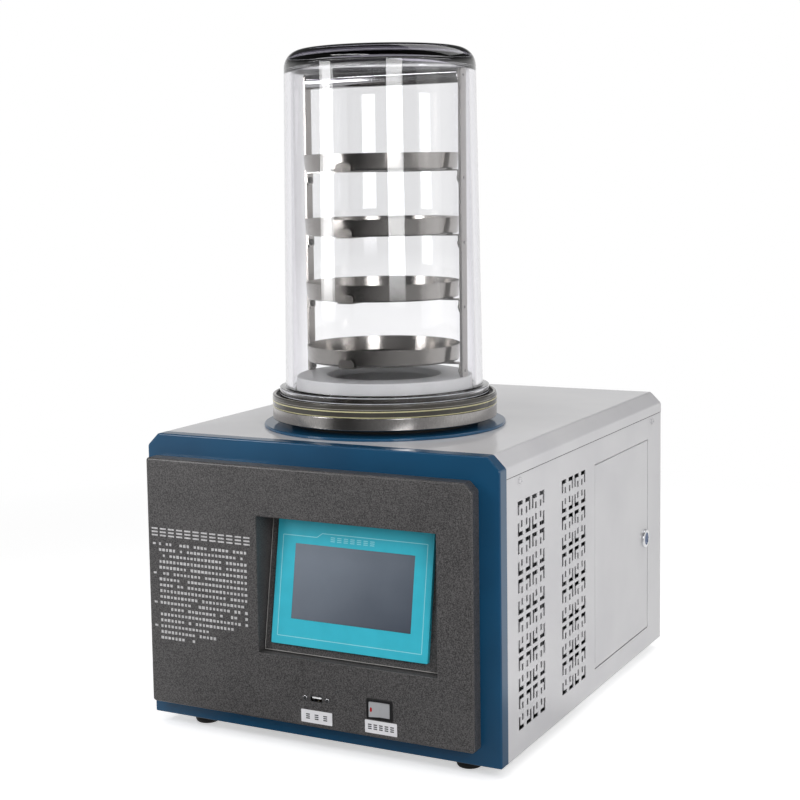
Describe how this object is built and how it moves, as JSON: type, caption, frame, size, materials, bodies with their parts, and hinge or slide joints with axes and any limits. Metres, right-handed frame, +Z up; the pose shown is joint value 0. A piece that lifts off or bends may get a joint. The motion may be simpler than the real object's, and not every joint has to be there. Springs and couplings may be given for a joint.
{
  "type": "freeze dryer",
  "caption": "Bench-top laboratory freeze dryer: box cabinet with slanted touch panel, vented sides and hinged side door, clear cylindrical chamber over a cold trap with a tray rack.",
  "frame": {"origin": "middle of the whole machine on the surface it stands on", "axes": "+Z up, operator side towards -Y, side door towards +X"},
  "size_m": [0.4693, 0.628, 0.824],
  "materials": {
    "blue_paint": "deep blue gloss paint",
    "charcoal_pan": "charcoal, fine speckle",
    "light_paint": "light warm grey, fine powder coat",
    "zinc_steel": "zinc-plated sheet",
    "steel": "stainless steel",
    "polished_steel": "polished stainless steel",
    "lock_chrome": "chromed ring, dark centre",
    "black_rubber": "moulded rubber",
    "teal_frame": "teal moulded frame",
    "screen": "glossy display cover",
    "switch_black": "black moulding",
    "switch_grey": "light grey moulding",
    "foam": "closed-cell foam jacket",
    "silicone": "translucent silicone",
    "clear_acrylic": "clear cast acrylic",
    "white_plastic": "white plastic",
    "compressor_black": "black enamel",
    "fin_aluminium": "plain aluminium",
    "fan_plastic": "black plastic",
    "copper": "drawn copper tube",
    "brass": "nickel-plated brass",
    "lever_red": "dipped lever"
  },
  "bodies": {
    "cabinet": {"front_bezel": "blue_paint", "collar_disc": "blue_paint", "control_panel": "charcoal_pan", "base_tray": "zinc_steel", "top_cover": "light_paint", "left_side_panel": "light_paint", "right_side_panel": "light_paint", "rear_panel": "light_paint", "foot_front_left": "black_rubber", "foot_front_right": "black_rubber", "foot_rear_left": "black_rubber", "foot_rear_right": "black_rubber", "cover_screws": "steel", "touch_screen": "teal_frame", "screen_glass": "screen", "usb_socket": "steel", "panel_screws": "steel", "switch_frame": "switch_black", "trap_flange": "steel", "cold_trap": "steel", "trap_insulation": "foam", "vacuum_port": "steel", "gasket": "silicone", "dome": "clear_acrylic", "support_ring": "white_plastic", "rack_left_post": "steel", "rack_right_post": "steel", "rack_handle": "polished_steel", "rack_screws": "polished_steel", "shelf_1": "steel", "shelf_2": "steel", "shelf_3": "steel", "shelf_4": "steel", "tray_1": "steel", "tray_2": "steel", "tray_3": "steel", "tray_4": "steel", "compressor": "compressor_black", "compressor_mounts": "black_rubber", "condenser": "fin_aluminium", "fan_shroud": "zinc_steel", "fan_motor": "compressor_black", "suction_pipe": "copper", "discharge_pipe": "copper", "liquid_line": "copper", "filter_drier": "copper", "electrical_plate": "zinc_steel", "power_supply": "fin_aluminium", "contactor": "switch_grey", "terminal_block": "switch_grey", "power_inlet": "switch_black", "pump_outlet": "switch_black", "drain_valve": "brass"},
    "door": {"side_door": "light_paint", "door_pins": "steel"},
    "lock": {"door_lock": "lock_chrome", "lock_cam": "zinc_steel"},
    "rocker": {"switch_rocker": "switch_grey"},
    "fan": {"fan_rotor": "fan_plastic"},
    "drain_lever": {"valve_handle": "lever_red"}
  },
  "joints": [
    {"name": "side_door_hinge", "type": "hinge", "parent": "cabinet", "child": "door", "pos_m": [0.2294, 0.01495, 0.1743], "axis": [0, 0, -1], "range_deg": [0, 110]},
    {"name": "door_lock_turn", "type": "hinge", "parent": "door", "child": "lock", "pos_m": [0.2315, 0.21045, 0.171], "axis": [-1, 0, 0], "range_deg": [0, 90]},
    {"name": "power_switch_rock", "type": "hinge", "parent": "cabinet", "child": "rocker", "pos_m": [0.0903, -0.30705, 0.068], "axis": [0, 0, -1], "range_deg": [0, 16]},
    {"name": "fan_spin", "type": "hinge", "parent": "cabinet", "child": "fan", "pos_m": [0.1545, -0.13155, 0.122], "axis": [1, 0, 0], "continuous": true},
    {"name": "drain_lever_turn", "type": "hinge", "parent": "cabinet", "child": "drain_lever", "pos_m": [0, 0.29495, 0.07], "axis": [0, 0, 1], "range_deg": [0, 90]}
  ]
}
